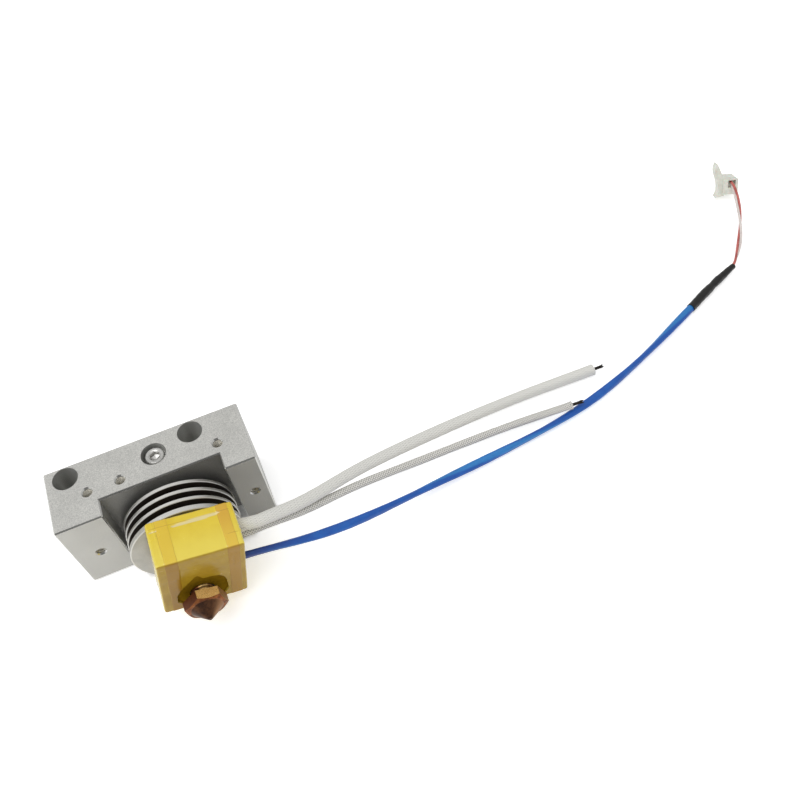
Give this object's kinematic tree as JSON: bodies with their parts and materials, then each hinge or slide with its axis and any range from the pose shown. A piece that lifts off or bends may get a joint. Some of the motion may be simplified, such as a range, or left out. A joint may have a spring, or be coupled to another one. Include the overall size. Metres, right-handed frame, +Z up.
{
  "type": "hotend assembly",
  "caption": "Finned printer hotend clamped in a drilled aluminium mounting block, with a tape-wrapped heater block, hex nozzle, heater leads and a sleeved sensor lead with a plug.",
  "frame": {"origin": "on the filament axis in the mounting block's top face", "axes": "+Z up, against the filament's travel; +X along the block towards the leads; +Y into the carriage behind the block"},
  "size_m": [0.2476, 0.0315, 0.09],
  "materials": {
    "anodised_aluminium": "bead-blasted, clear anodised",
    "turned_aluminium": "fine turned",
    "heater_aluminium": "milled",
    "stainless_steel": "bright",
    "ptfe": "translucent white",
    "ceramic_blanket": "soft felted fibre",
    "polyimide_tape": "glossy amber film, overlapping",
    "heat_tinted_brass": "brown heat tint, worn bright on one flat",
    "blackened_copper": "twisted strands, blackened",
    "white_sleeving": "matt silicone-coated sleeving",
    "glass_braid": "fine braid",
    "blue_sleeving": "satin",
    "black_shrink": "satin black",
    "red_insulation": "satin",
    "white_insulation": "satin",
    "white_nylon": "moulded",
    "tin_plate": "bright"
  },
  "bodies": {
    "mount": {"mount_block": "anodised_aluminium"},
    "screw": {"retaining_screw": "stainless_steel"},
    "core": {"heatsink": "turned_aluminium", "heat_break": "stainless_steel", "ptfe_liner": "ptfe", "heater_block": "heater_aluminium", "heater_cartridge": "stainless_steel", "cartridge_set_screw": "stainless_steel", "probe_capsule": "stainless_steel", "probe_set_screw": "stainless_steel", "insulation_blanket": "ceramic_blanket", "tape_band_around": "polyimide_tape", "tape_band_over": "polyimide_tape"},
    "nozzle": {"nozzle": "heat_tinted_brass"},
    "heater_leads": {"sleeved_lead_conductor": "blackened_copper", "sleeved_lead_insulation": "glass_braid", "sleeved_lead_sleeve": "white_sleeving", "braided_lead_conductor": "blackened_copper", "braided_lead_cover": "glass_braid"},
    "probe_lead": {"probe_lead_wires": "white_insulation", "probe_lead_sleeve": "blue_sleeving", "heat_shrink": "black_shrink"},
    "pigtail": {"signal_wire_red": "red_insulation", "signal_wire_white": "white_insulation", "connector_housing": "white_nylon", "connector_contacts": "tin_plate"}
  },
  "joints": [
    {"name": "retaining_screw_travel", "type": "slide", "parent": "mount", "child": "screw", "axis": [0, -1, 0], "range_m": [0, 0.012]},
    {"name": "core_release", "type": "slide", "parent": "mount", "child": "core", "axis": [0, 0, -1], "range_m": [0, 0.016]},
    {"name": "nozzle_unscrew", "type": "slide", "parent": "core", "child": "nozzle", "axis": [0, 0, -1], "range_m": [0, 0.01]},
    {"name": "heater_leads_flex", "type": "hinge", "parent": "core", "child": "heater_leads", "pos_m": [0.01614, -0.0082, -0.0348], "axis": [0, 0, -1], "range_deg": [0, 50]},
    {"name": "probe_lead_flex", "type": "hinge", "parent": "core", "child": "probe_lead", "pos_m": [0.01478, -0.00322, -0.0392], "axis": [-0.2062, 0.9785, 0], "range_deg": [0, 50]},
    {"name": "pigtail_flex", "type": "hinge", "parent": "probe_lead", "child": "pigtail", "pos_m": [0.1947, 0.0098, 0.00125], "axis": [0, 1, 0], "range_deg": [-45, 45]}
  ]
}
